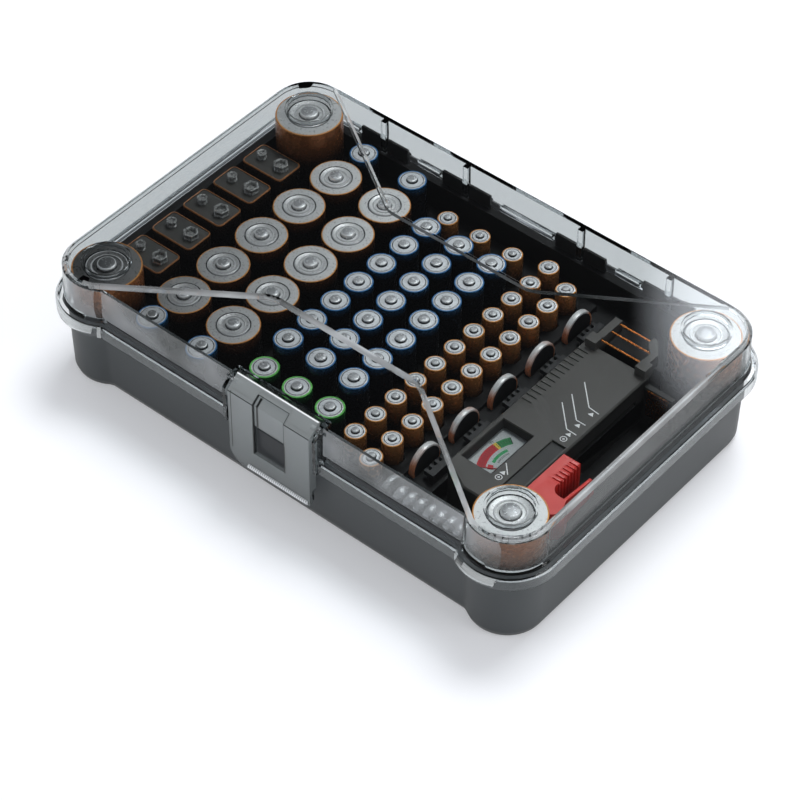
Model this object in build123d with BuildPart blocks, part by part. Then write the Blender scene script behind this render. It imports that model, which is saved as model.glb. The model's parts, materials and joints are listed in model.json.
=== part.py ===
from build123d import *
import math
import os

os.makedirs("parts", exist_ok=True)

# Plan: the four corner lobes are struck round the large corner cells.
lobe_x = 122.4
lobe_y = 72.8
front_setback = 4.3
notch_blend = 1.3
wall_blend = 2.0

# Heights of the shell.
floor_top = 2.5
base_top = 42.8
rim_top = 44.4
deck_top = 29.0
deck_thickness = 2.0
flange_under = 44.8
flange_top = 46.4
lip_low = 38.6
wall_foot = 48.4
bevel_low = 65.4
lid_top = 68.0
panel_sink = 2.2

# Radii of the concentric outlines.
base_low_r = 19.4
base_top_r = 20.3
base_wall = 1.8
lid_foot_r = 21.7
lid_shoulder_r = 21.2
lid_wall = 1.8
lip_r = 25.7
lip_wall = 1.5
foot_flare = 1.1

# Latch and its place on the front.
latch_half = 24.6
latch_front = -95.6
latch_plate = 1.8
latch_low = 15.2
latch_break = 60.0
latch_crown = 66.2
latch_crown_y = -88.2
latch_axis_y = -89.7
latch_axis_z = 62.4
latch_pin_r = 1.0
pocket_back = -85.3
cheek_in = 26.2
cheek_out = 28.2
window_half = 9.3
window_low = 28.2
window_high = 46.2
catch_half = 8.9
catch_front = -93.4
niche_half = 20.5

# Hinges along the back.
hinge_axis_y = 97.5
hinge_axis_z = 40.0
hinge_centres = [-88.2, -35.5, 35.5, 88.2]
hinge_half = 18.5
knuckle_half = 10.0
barrel_r = 3.4
hinge_pin_r = 1.3
hinge_pad_y = 93.4
running_fit = 0.05

# Cells.
d_r = 17.1
d_high = 63.5
c_r = 13.1
c_high = 51.7
c_columns = [-89.6, -58.0]
c_pitch = 27.55
aa_r = 7.25
aa_high = 52.3
aa_columns = [-31.5, -11.25, 9.0]
aa_first = 55.3
aa_pitch = 16.9
aaa_r = 5.25
aaa_high = 46.5
aaa_columns = [28.0, 44.0]
aaa_first = [76.0, 68.9]
aaa_pitch = 14.33
short_high = 46.3
block_x = -123.9
block_first = 45.5
block_pitch = 21.98
block_long = 26.0
block_wide = 17.0
block_high = 47.0
snap_spacing = 12.7
snap_high = 3.0
coin_r = 10.0
coin_thick = 3.2
coin_x = 57.0
coin_z = 33.0
coin_first = -52.5
coin_pitch = 28.5
button_r = 5.8
button_thick = 4.2
button_first = 67.4
button_pitch = 5.75
button_y = -80.6
button_z = 40.6
socket_play = 0.45
large_sides = 24
medium_sides = 16
slim_sides = 12
cell_sides = 10
nub_sides = 6

# Wide coin beside the button cells.
wide_coin_r = 8.0
wide_coin_place = (59.5, -78.5, 38.0)

# Tester.
tester_left = 72.3
tester_right = 109.9
tester_front = -63.0
tester_back = 47.2
tester_low = 20.2
tester_top = 46.0
tester_split = 34.0
tester_wall = 1.6
tester_corner = 5.5
tester_slant = (88.0, -54.6)
screw_places = [(77.6, 42.0), (104.6, 42.0), (77.6, -52.2), (98.0, -58.0)]
screw_r = 1.1
bezel = (74.8, 92.9, -48.5, -17.5)
dial = (76.5, 90.2, -46.0, -19.2)
bezel_floor = 42.2
glass_plan = (74.6, 92.0, -48.2, -17.0)
needle_pivot = (101.0, -34.3)
needle_long = 20.5
needle_rest = 210.0
staff_r = 0.75
sunk_strip = (100.5, 108.3, -14.0)
slot_top = 37.0
slot_ends = (-49.0, 37.5)
slider_low = 31.0
slider_top = 46.5
slider_gap = 0.35
rod_r = 0.45
rods = [(80.5, 103.5, 48.8, 49.6), (80.5, 105.0, 56.8, 49.2), (80.5, 99.5, 63.3, 49.2)]

d_places = [(sx * lobe_x, sy * lobe_y) for sx in (-1, 1) for sy in (-1, 1)]
c_places = [(x, k * c_pitch) for x in c_columns for k in range(-2, 3)]
aa_grid = [(x, aa_first - k * aa_pitch) for x in aa_columns for k in range(7)]
aa_extra = [(-90.2, 77.2), (-58.8, 77.2), (-90.6, -75.9), (-59.0, -75.9)]
aa_places = aa_grid + aa_extra
short_places = [(x, aa_first - 7 * aa_pitch) for x in aa_columns]
aaa_grid = [(aaa_columns[i], aaa_first[i] - k * aaa_pitch) for i in (0, 1) for k in range(11)]
aaa_extra = [(x, 71.9) for x in aa_columns]
aaa_places = aaa_grid + aaa_extra
block_places = [(block_x, block_first - k * block_pitch) for k in range(5)]
coin_places = [coin_first + k * coin_pitch for k in range(5)]
button_places = [button_first + k * button_pitch for k in range(7)]


def outline(r, blend=notch_blend, sides=0, rounded=False):
    """Draws the case outline at lobe radius r into the open sketch, hidden lobes with few sides."""
    front = -(lobe_y + r - front_setback)
    with BuildSketch(mode=Mode.PRIVATE) as plan:
        with Locations((0, 0)):
            Rectangle(2 * (lobe_x + r), 2 * lobe_y)
        with Locations((0, (lobe_y + r + front) / 2)):
            Rectangle(2 * lobe_x, lobe_y + r - front)
        with Locations(*d_places):
            if sides > 0:
                RegularPolygon(r, sides)
            else:
                Circle(r)
        corners = plan.vertices().filter_by(
            lambda v: abs(v.Y - front) < 0.01 and abs(v.X) < lobe_x
        )
        if rounded:
            fillet(corners, radius=blend)
        elif blend > 0:
            chamfer(corners, length=blend)
    add(plan.sketch)


def block(x0, x1, y0, y1, z0, z1, mode=Mode.ADD):
    """Adds or cuts a straight block between two corners."""
    with Locations(((x0 + x1) / 2, (y0 + y1) / 2, (z0 + z1) / 2)):
        Box(abs(x1 - x0), abs(y1 - y0), abs(z1 - z0), mode=mode)


def pin_hole(x, y, z, r, long):
    """Cuts a pin's hole along X, many-sided, with its flats just outside the stated radius."""
    with BuildSketch(Plane.YZ.offset(x), mode=Mode.PRIVATE) as plan:
        with Locations((y, z)):
            RegularPolygon(r, 12, major_radius=False)
    extrude(plan.sketch, amount=long / 2, both=True, mode=Mode.SUBTRACT)


def save(part, name):
    """Labels one piece and writes its file."""
    part.label = name
    export_step(part, f"parts/{name}.step")


# Base shell: a drafted tub with a rounded foot, a latch niche and a catch.
base_draft = math.degrees(math.atan((base_top_r - base_low_r) / base_top))
foot_low = 1.0
foot_high = 3.6
foot_in = 2.4
foot_mid = 0.9
with BuildPart() as base_shell:
    with BuildSketch(Plane.XY):
        outline(base_low_r - foot_in)
    extrude(amount=foot_low, taper=-math.degrees(math.atan((foot_in - foot_mid) / foot_low)))
    with BuildSketch(Plane.XY.offset(foot_low)):
        outline(base_low_r - foot_mid)
    extrude(amount=foot_high - foot_low, taper=-math.degrees(math.atan(foot_mid / (foot_high - foot_low))))
    with BuildSketch(Plane.XY.offset(foot_high)):
        outline(base_low_r)
    extrude(amount=base_top - foot_high, taper=-base_draft)
    with BuildSketch(Plane.XY.offset(floor_top)):
        outline(base_low_r - base_wall, 0, large_sides)
    extrude(amount=base_top, taper=-base_draft, mode=Mode.SUBTRACT)
    niche_back = -(lobe_y + base_low_r - front_setback) + 2.4
    block(-niche_half - 1.8, niche_half + 1.8, niche_back, niche_back + 1.8, floor_top, base_top)
    block(-niche_half, niche_half, -110, niche_back, 11.0, base_top + 1, mode=Mode.SUBTRACT)
    with BuildSketch(Plane.YZ.offset(-catch_half)):
        with BuildLine():
            Polyline(
                (niche_back, window_low + 0.5),
                (catch_front, window_low + 0.5),
                (catch_front, window_high - 3.2),
                (catch_front + 1.6, window_high - 0.5),
                (catch_front + 3.0, window_high - 0.5),
                (catch_front + 3.0, base_top - 0.6),
                (niche_back, base_top - 0.6),
                close=True,
            )
        make_face()
    extrude(amount=2 * catch_half)
    for x_hinge in hinge_centres:
        block(
            x_hinge - hinge_half,
            x_hinge + hinge_half,
            lobe_y + base_low_r,
            hinge_pad_y,
            33.0,
            base_top,
        )
save(base_shell.part, "base_shell")

# Socket tray: rim, wall and deck in one moulding, pierced for every cell.
tray_r = 16.6
tray_wall = 1.3
tray_notch_y = -83.4
rim_low = rim_top - 1.5
ring_wall = 1.2
ring_top = 38.0
deck_low = deck_top - deck_thickness
well_x0 = 69.0
well_x1 = lobe_x + 14.6
well_y0 = -68.0
well_y1 = 68.5
well_low = 18.6
cradle_x0 = 46.4
cradle_x1 = 55.0
cradle_top = 33.4


def prism_holes(places, r, sides, turn, low, high):
    """Cuts upright sockets of few sides round the given centres."""
    with BuildSketch(Plane.XY.offset(low), mode=Mode.PRIVATE) as plan:
        with Locations(*places):
            RegularPolygon(radius=r, side_count=sides, major_radius=False, rotation=turn)
    extrude(plan.sketch, amount=high - low, mode=Mode.SUBTRACT)


def disc(place, r, thick, mode=Mode.ADD):
    """Adds or cuts a many-sided disc whose axis runs along X."""
    with BuildSketch(Plane.YZ.offset(place[0]), mode=Mode.PRIVATE) as plan:
        with Locations((place[1], place[2])):
            RegularPolygon(r, slim_sides, major_radius=mode == Mode.ADD)
    extrude(plan.sketch, amount=thick / 2, both=True, mode=mode)


with BuildPart() as socket_tray:
    with BuildSketch(Plane.XY.offset(rim_low)):
        outline(base_top_r - 0.1)
        outline_inner = tray_r - tray_wall
        with BuildSketch(mode=Mode.PRIVATE) as rim_hole:
            outline(outline_inner, 0, large_sides)
        add(rim_hole.sketch, mode=Mode.SUBTRACT)
    extrude(amount=rim_top - rim_low)
    with BuildSketch(Plane.XY.offset(deck_low)):
        outline(tray_r, 0, large_sides)
        add(rim_hole.sketch, mode=Mode.SUBTRACT)
    extrude(amount=rim_top - deck_low)
    with BuildSketch(Plane.XY.offset(deck_low)):
        outline(tray_r, 0, large_sides)
    extrude(amount=deck_thickness)
    block(cradle_x0, cradle_x1, -76.5, 80.0, deck_top, cradle_top)
    block(cradle_x1 - 0.2, well_x0 + 1.6, -72.0, 78.0, deck_top - 10.4, deck_top + 2.0)
    block(53.0, 106.0, -85.0, -73.4, deck_top, deck_top + 8.6)
    block(well_x0, well_x1, well_y0, well_y1, well_low, deck_top)
    block(
        well_x0 + 1.6,
        well_x1 - 1.4,
        well_y0 + 1.6,
        well_y1 - 1.6,
        tester_low,
        rim_top + 1,
        mode=Mode.SUBTRACT,
    )
    with BuildSketch(Plane.XY.offset(well_low), mode=Mode.PRIVATE) as ring_plan:
        with Locations((lobe_x, lobe_y), (lobe_x, -lobe_y)):
            RegularPolygon(d_r + socket_play + ring_wall, medium_sides, major_radius=False)
        with BuildSketch(mode=Mode.PRIVATE) as tray_area:
            outline(tray_r, 0, large_sides)
        add(tray_area.sketch, mode=Mode.INTERSECT)
    extrude(ring_plan.sketch, amount=ring_top - well_low)
    block(-niche_half - 4, niche_half + 4, tray_notch_y - 0.1, tray_notch_y + tray_wall, deck_top, rim_top)
    block(-niche_half - 2.2, niche_half + 2.2, -90, tray_notch_y, deck_low - 1, rim_low, mode=Mode.SUBTRACT)
    prism_holes(d_places, d_r + socket_play, medium_sides, 0, 0, 60)
    prism_holes(c_places, c_r + socket_play, 8, 22.5, 0, 60)
    prism_holes(aa_places + short_places, aa_r + socket_play, 8, 22.5, 0, 60)
    prism_holes(aaa_places, aaa_r + socket_play, 8, 22.5, 0, 60)
    with BuildSketch(Plane.XY.offset(0)):
        with Locations(*block_places):
            Rectangle(block_long + 1.0, block_wide + 1.0)
    extrude(amount=60, mode=Mode.SUBTRACT)
    for y_coin in coin_places:
        disc((coin_x, y_coin, coin_z), coin_r + 0.4, coin_thick + 0.8, Mode.SUBTRACT)
    for x_button in button_places:
        disc((x_button, button_y, button_z), button_r + 0.3, button_thick + 0.5, Mode.SUBTRACT)
    disc(wide_coin_place, wide_coin_r + 0.3, coin_thick + 0.6, Mode.SUBTRACT)
save(socket_tray.part, "socket_tray")

# Lid: a clear cover with lobed walls, a raised middle band and a down-turned lip.
front_dip = [(-140.3, -110), (-44, -42.5), (44, -42.5), (140.3, -110)]
back_dip = [(147, 110), (43, 42), (-43, 42), (-147, 110)]
wall_draft = math.degrees(math.atan((lid_foot_r - lid_shoulder_r) / (bevel_low - wall_foot)))
dip_floor = lid_top - panel_sink
under_dip = dip_floor - lid_wall
under_band = lid_top - lid_wall


def dips(level, grow):
    """Gives the two sunk trapezoids of the lid top, grown sideways."""
    with BuildSketch(Plane.XY.offset(level), mode=Mode.PRIVATE) as plan:
        for corners in (front_dip, back_dip):
            with BuildSketch(mode=Mode.PRIVATE) as one:
                with BuildLine():
                    Polyline(*corners, close=True)
                make_face()
                inner = one.vertices().filter_by(lambda v: abs(v.Y) < 60)
                fillet(inner, radius=13)
                if grow > 0:
                    offset(amount=grow)
            add(one.sketch)
    return plan.sketch


with BuildPart() as lid_cover:
    with BuildSketch(Plane.XY.offset(lip_low)):
        outline(lip_r, 1.8)
    extrude(amount=flange_top - lip_low)
    top_rim = lid_cover.faces().sort_by(Axis.Z)[-1].edges()
    chamfer(top_rim, length=1.1)
    low_rim = lid_cover.faces().sort_by(Axis.Z)[0].edges()
    chamfer(low_rim, length=0.9)
    with BuildSketch(Plane.XY.offset(flange_top)):
        outline(lid_foot_r + foot_flare, wall_blend, rounded=True)
    extrude(amount=2.0, taper=math.degrees(math.atan(foot_flare / 2.0)))
    with BuildSketch(Plane.XY.offset(flange_top)):
        outline(lid_foot_r, wall_blend, rounded=True)
    extrude(amount=bevel_low - flange_top, taper=wall_draft)
    with BuildSketch(Plane.XY.offset(bevel_low)):
        outline(lid_shoulder_r, wall_blend, rounded=True)
    extrude(amount=lid_top - bevel_low, taper=45)
    extrude(dips(dip_floor, 0), amount=4, taper=-42, mode=Mode.SUBTRACT)
    with BuildSketch(Plane.XY.offset(lip_low)):
        outline(lip_r - lip_wall, 0)
    extrude(amount=flange_under - lip_low, mode=Mode.SUBTRACT)
    with BuildSketch(Plane.XY.offset(flange_under)):
        outline(lid_foot_r - lid_wall, 0)
    extrude(amount=under_dip - flange_under, taper=wall_draft, mode=Mode.SUBTRACT)
    with BuildSketch(Plane.XY.offset(under_dip)):
        outline(lid_shoulder_r - lid_wall - 1.2, 0)
        add(dips(under_dip, 2.2), mode=Mode.SUBTRACT)
    extrude(amount=under_band - under_dip, mode=Mode.SUBTRACT)
    with BuildSketch(Plane.XY.offset(under_dip)):
        with Locations(*d_places):
            RegularPolygon(12.2, medium_sides)
            RegularPolygon(11.0, medium_sides, mode=Mode.SUBTRACT)
    extrude(amount=under_band - under_dip)
    block(-cheek_out, cheek_out, -89.9, pocket_back + lid_wall, 52.2, dip_floor)
    block(-cheek_in, cheek_in, -110, pocket_back, 54.0, 70.0, mode=Mode.SUBTRACT)
    block(-cheek_in, cheek_in, -110, -90.3, lip_low - 1, flange_top + 2.2, mode=Mode.SUBTRACT)
    for side in (-1, 1):
        with BuildSketch(Plane.YZ.offset(side * (cheek_in + cheek_out) / 2)):
            with BuildLine():
                Polyline(
                    (-89.6, lip_low),
                    (-95.0, lip_low),
                    (-95.3, 59.6),
                    (-88.6, 65.5),
                    (pocket_back + 0.5, 65.5),
                    (pocket_back + 0.5, 54.0),
                    (-89.0, 54.0),
                    (-89.6, 46.0),
                    close=True,
                )
            make_face()
        extrude(amount=(cheek_out - cheek_in) / 2, both=True)
        pin_hole(side * 27, latch_axis_y, latch_axis_z, latch_pin_r + running_fit, 6)
    for x_hinge in hinge_centres:
        cut = hinge_half + 0.8
        block(x_hinge - cut, x_hinge + cut, 94.7, 112, lip_low - 1, flange_top + 3, mode=Mode.SUBTRACT)
        block(x_hinge - 1.5, x_hinge + 1.5, 89.6, 92.4, flange_under, under_dip + 0.5)
        with BuildSketch(Plane.YZ.offset(x_hinge)):
            with BuildLine():
                Polyline(
                    (93.3, 45.4),
                    (93.3, 48.4),
                    (96.2, 48.4),
                    (hinge_axis_y + barrel_r, 42.4),
                    (hinge_axis_y + barrel_r, hinge_axis_z),
                    (hinge_axis_y - barrel_r, hinge_axis_z),
                    (hinge_axis_y - barrel_r, 45.0),
                    close=True,
                )
            make_face()
            with Locations((hinge_axis_y, hinge_axis_z)):
                RegularPolygon(barrel_r, medium_sides)
        extrude(amount=knuckle_half, both=True)
        pin_hole(x_hinge, hinge_axis_y, hinge_axis_z, hinge_pin_r + running_fit, 2 * knuckle_half + 2)
save(lid_cover.part, "lid_cover")

# Hinge brackets: two lugs and a bar each, set against the pads of the shell.
lug_in = knuckle_half + 0.35
with BuildPart() as hinge_brackets:
    for x_hinge in hinge_centres:
        for side in (-1, 1):
            with BuildSketch(Plane.YZ.offset(x_hinge + side * (lug_in + hinge_half) / 2)):
                with Locations((hinge_axis_y, hinge_axis_z)):
                    RegularPolygon(barrel_r, medium_sides)
                with BuildLine():
                    Polyline(
                        (hinge_pad_y, hinge_axis_z - barrel_r),
                        (hinge_axis_y, hinge_axis_z - barrel_r),
                        (hinge_axis_y, hinge_axis_z + barrel_r),
                        (hinge_pad_y + 0.8, hinge_axis_z + barrel_r),
                        (hinge_pad_y, base_top - 0.2),
                        close=True,
                    )
                make_face()
            extrude(amount=(hinge_half - lug_in) / 2, both=True)
        block(x_hinge - hinge_half, x_hinge + hinge_half, hinge_pad_y, 98.4, 33.4, 36.0)
        block(x_hinge - hinge_half, x_hinge - lug_in, hinge_pad_y, 98.4, 35.9, 37.5)
        block(x_hinge + lug_in, x_hinge + hinge_half, hinge_pad_y, 98.4, 35.9, 37.5)
        pin_hole(x_hinge, hinge_axis_y, hinge_axis_z, hinge_pin_r, 2 * hinge_half + 2)
save(hinge_brackets.part, "hinge_brackets")

with BuildPart() as hinge_pins:
    for x_hinge in hinge_centres:
        with Locations(Location((x_hinge, hinge_axis_y, hinge_axis_z), (0, 90, 0))):
            Cylinder(hinge_pin_r, 2 * hinge_half - 0.6)
save(hinge_pins.part, "hinge_pins")

# Latch: a clear flap with a broken top, a window for the catch and a pull edge.
slope_y = latch_crown_y - latch_front
slope_z = latch_crown - latch_break
slope_long = math.hypot(slope_y, slope_z)


def slope_point(along, depth):
    """Gives a point of the latch's upper slope, so deep under its outer face."""
    y = latch_front + along * slope_y + depth * slope_z / slope_long
    z = latch_break + along * slope_z - depth * slope_y / slope_long
    return (y, z)


def bend_point(depth):
    """Gives the inner corner of the latch's bend at one depth."""
    start = slope_point(0, depth)
    return (latch_front + depth, start[1] + (latch_front + depth - start[0]) * slope_z / slope_y)


with BuildPart() as latch_flap:
    with BuildSketch(Plane.YZ):
        with BuildLine():
            Polyline(
                (latch_front, latch_low),
                (latch_front, latch_break),
                (latch_crown_y, latch_crown),
                slope_point(1, latch_plate),
                bend_point(latch_plate),
                (latch_front + latch_plate, latch_low),
                close=True,
            )
        make_face()
    extrude(amount=latch_half, both=True)
    low_corners = latch_flap.edges().filter_by(Axis.Y).filter_by(lambda e: e.center().Z < 20)
    fillet(low_corners.sort_by(Axis.X)[0], radius=9.0)
    low_corners = latch_flap.edges().filter_by(Axis.Y).filter_by(lambda e: e.center().Z < 20)
    fillet(low_corners.sort_by(Axis.X)[-1], radius=2.0)
    for side in (-1, 1):
        x_out = side * latch_half
        x_in = side * (latch_half - 1.6)
        block(x_in, x_out, latch_front + latch_plate - 0.1, -91.2, 25.0, 58.6)
        with BuildSketch(Plane.YZ.offset(side * (latch_half - 1.1))):
            with Locations((latch_axis_y, latch_axis_z)):
                RegularPolygon(2.3, medium_sides)
        extrude(amount=1.1, both=True)
        pin_hole(side * 24, latch_axis_y, latch_axis_z, latch_pin_r, 8)
    block(-window_half, window_half, -100, -90, window_low, window_high, mode=Mode.SUBTRACT)
    with BuildSketch(Plane.YZ):
        with BuildLine():
            Polyline(
                (-100, window_high - 1),
                (latch_front + 0.9, window_high - 1),
                bend_point(0.9),
                slope_point(0.58, 0.9),
                slope_point(0.58, -4),
                (-100, 64),
                close=True,
            )
        make_face()
    extrude(amount=window_half, both=True, mode=Mode.SUBTRACT)
    with BuildSketch(Plane.YZ.offset(5.0)):
        with Locations((latch_front, 17.7)):
            RegularPolygon(1.15, slim_sides)
    extrude(amount=18.3, both=True)
save(latch_flap.part, "latch_flap")

with BuildPart() as latch_pins:
    for side in (-1, 1):
        with Locations(Location((side * 25.2, latch_axis_y, latch_axis_z), (0, 90, 0))):
            Cylinder(latch_pin_r, 5.2)
save(latch_pins.part, "latch_pins")

# Tester: a two-part case that lies in the tray's well.
tester_plan = [
    (tester_left, tester_back),
    (tester_left, tester_slant[1]),
    (tester_slant[0], tester_front),
    (tester_right - tester_corner, tester_front),
    (tester_right, tester_front + tester_corner),
    (tester_right, tester_back),
]


def tester_outline(inset):
    """Draws the tester's plan, drawn in by one wall or by none."""
    with BuildSketch(mode=Mode.PRIVATE) as plan:
        with BuildLine():
            Polyline(*tester_plan, close=True)
        make_face()
        if inset > 0:
            offset(amount=-inset, kind=Kind.INTERSECTION)
    add(plan.sketch)


foot_x = 126.0
foot_y0 = 43.6
foot_y1 = 46.4
foot_top = 42.0
with BuildPart() as tester_lower_case:
    with BuildSketch(Plane.XY.offset(tester_low)):
        tester_outline(0)
    extrude(amount=tester_split - tester_low)
    with BuildSketch(Plane.XY.offset(tester_low + tester_wall)):
        tester_outline(tester_wall)
    extrude(amount=tester_split - tester_low, mode=Mode.SUBTRACT)
    with BuildSketch(Plane.XY.offset(tester_low)):
        with Locations(*screw_places):
            RegularPolygon(2.9, nub_sides)
    extrude(amount=tester_split - tester_low)
    with BuildSketch(Plane.XY.offset(tester_low)):
        with Locations(*screw_places):
            RegularPolygon(screw_r, 6)
    extrude(amount=tester_split - tester_low, mode=Mode.SUBTRACT)
    with BuildSketch(Plane.XY.offset(tester_low)):
        with Locations(*screw_places):
            RegularPolygon(2.2, slim_sides)
    extrude(amount=2.4, mode=Mode.SUBTRACT)
    block(tester_right - 0.2, foot_x, foot_y0, foot_y1, tester_low, tester_split - 0.2)
    block(tester_right + 0.3, foot_x, foot_y0, foot_y1, tester_low, foot_top)
save(tester_lower_case.part, "tester_lower_case")

with BuildPart() as tester_upper_case:
    with BuildSketch(Plane.XY.offset(tester_split)):
        tester_outline(0)
    extrude(amount=tester_top - tester_split)
    top_edges = tester_upper_case.faces().sort_by(Axis.Z)[-1].edges()
    chamfer(top_edges, length=0.8)
    with BuildSketch(Plane.XY.offset(tester_split)):
        tester_outline(tester_wall)
    extrude(amount=tester_top - tester_wall - tester_split, mode=Mode.SUBTRACT)
    block(
        tester_left + tester_wall - 0.2,
        bezel[1] + tester_wall,
        bezel[2] - tester_wall,
        bezel[3] + tester_wall,
        bezel_floor - 0.2,
        tester_top - tester_wall,
    )
    with BuildSketch(Plane.XY.offset(tester_top)):
        with Locations(((bezel[0] + bezel[1]) / 2, (bezel[2] + bezel[3]) / 2)):
            Rectangle(bezel[1] - bezel[0], bezel[3] - bezel[2])
    with BuildSketch(Plane.XY.offset(bezel_floor)):
        with Locations(((dial[0] + dial[1]) / 2, (dial[2] + dial[3]) / 2)):
            Rectangle(dial[1] - dial[0], dial[3] - dial[2])
    loft(mode=Mode.SUBTRACT)
    block(*dial, bezel_floor - 1, bezel_floor, mode=Mode.SUBTRACT)
    strip_x0, strip_x1, strip_y1 = sunk_strip
    strip_y0 = tester_front + tester_wall
    block(strip_x0 - 1, tester_right - 0.8, strip_y0, strip_y1 + 1, tester_top - 2.6, tester_top - 1.2)
    block(strip_x0, strip_x1, tester_front - 1, strip_y1, tester_top - 1.2, tester_top + 1, mode=Mode.SUBTRACT)
    for k in range(13):
        y_groove = -2.0 + k * 3.54
        block(72.9, 79.0, y_groove - 0.35, y_groove + 0.35, tester_top - 0.6, tester_top + 1, mode=Mode.SUBTRACT)
    with BuildSketch(Plane.XY.offset(tester_split)):
        with Locations(*screw_places):
            RegularPolygon(2.9, nub_sides)
    extrude(amount=tester_top - tester_wall - tester_split)
    with BuildSketch(Plane.XY.offset(tester_split)):
        with Locations(*screw_places):
            RegularPolygon(screw_r, 6)
    extrude(amount=7.0, mode=Mode.SUBTRACT)
    block(
        tester_right - tester_wall - 0.5,
        tester_right + 0.5,
        slot_ends[0],
        slot_ends[1],
        tester_split - 0.1,
        slot_top,
        mode=Mode.SUBTRACT,
    )
    for x_post in (74.5, 103.5):
        block(x_post, x_post + 6.0, 44.0, 50.0, tester_top - 2.0, tester_top + 5.0)
    block(76.5, 80.5, tester_back - 0.5, 65.2, tester_top - 3.0, tester_top + 4.2)
    with BuildSketch(Plane.XY.offset(tester_top - 3.0)):
        with BuildLine():
            Polyline(
                (103.5, tester_back - 0.5),
                (107.0, tester_back - 0.5),
                (107.0, 57.5),
                (101.5, 65.2),
                (98.6, 65.2),
                (98.6, 61.5),
                (103.5, 56.0),
                close=True,
            )
        make_face()
    extrude(amount=7.2)
    for x_from, x_to, y_rod, z_rod in rods:
        pin_hole((x_from + x_to) / 2, y_rod, z_rod, rod_r, x_to - x_from + 3)
save(tester_upper_case.part, "tester_upper_case")

with BuildPart() as contact_rods:
    for x_from, x_to, y_rod, z_rod in rods:
        with BuildSketch(Plane.YZ.offset((x_from + x_to) / 2), mode=Mode.PRIVATE) as rod_plan:
            with Locations((y_rod, z_rod)):
                RegularPolygon(rod_r, nub_sides)
        extrude(rod_plan.sketch, amount=(x_to - x_from + 3) / 2, both=True)
save(contact_rods.part, "contact_rods")

with BuildPart() as fixed_contact:
    block(112.0, 124.0, foot_y0 - 0.5, foot_y0, tester_low + 5, foot_top - 1)
save(fixed_contact.part, "fixed_contact")

with BuildPart() as tester_screws:
    with BuildSketch(Plane.XY.offset(tester_low + 0.8)):
        with Locations(*screw_places):
            RegularPolygon(2.0, slim_sides)
    extrude(amount=1.6)
    with BuildSketch(Plane.XY.offset(tester_low + 2.4)):
        with Locations(*screw_places):
            RegularPolygon(screw_r, 6)
    extrude(amount=17.0)
save(tester_screws.part, "tester_screws")

# Meter: window, printed dial, needle on its staff, and the movement below.
with BuildPart() as meter_window:
    block(*glass_plan, bezel_floor - 0.8, bezel_floor - 0.2)
save(meter_window.part, "meter_window")

with BuildPart() as meter_dial:
    block(*glass_plan, bezel_floor - 2.3, bezel_floor - 1.6)
save(meter_dial.part, "meter_dial")

movement_top = 39.6
with BuildPart() as meter_movement:
    with BuildSketch(Plane.XY.offset(tester_low + tester_wall)):
        with Locations(needle_pivot):
            Rectangle(10.4, 14.4)
    extrude(amount=movement_top - tester_low - tester_wall)
    chamfer(meter_movement.edges().filter_by(Axis.Z), length=1.2)
    with Locations((*needle_pivot, movement_top - 2)):
        Cylinder(staff_r + running_fit, 4.2, mode=Mode.SUBTRACT)
    block(*glass_plan[:2], -40, -30, movement_top - 6, bezel_floor - 2.3)
    block(glass_plan[1] - 0.1, 96.0, -40, -30, movement_top - 6, movement_top)
save(meter_movement.part, "meter_movement")

with BuildPart() as meter_needle:
    needle_low = bezel_floor - 1.35
    with Locations((*needle_pivot, movement_top - 3.7)):
        Cylinder(staff_r, needle_low + 0.7 - movement_top + 3.7, align=(Align.CENTER, Align.CENTER, Align.MIN))
    with BuildSketch(Plane.XY.offset(movement_top + 0.4)):
        with Locations(needle_pivot):
            RegularPolygon(1.8, slim_sides)
    extrude(amount=needle_low + 0.3 - movement_top - 0.4)
    with BuildSketch(Plane.XY.offset(needle_low)):
        with Locations(Location((*needle_pivot, 0), (0, 0, needle_rest))):
            with Locations((needle_long / 2, 0)):
                Rectangle(needle_long, 0.5)
    extrude(amount=0.3)
save(meter_needle.part, "meter_needle")

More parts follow.
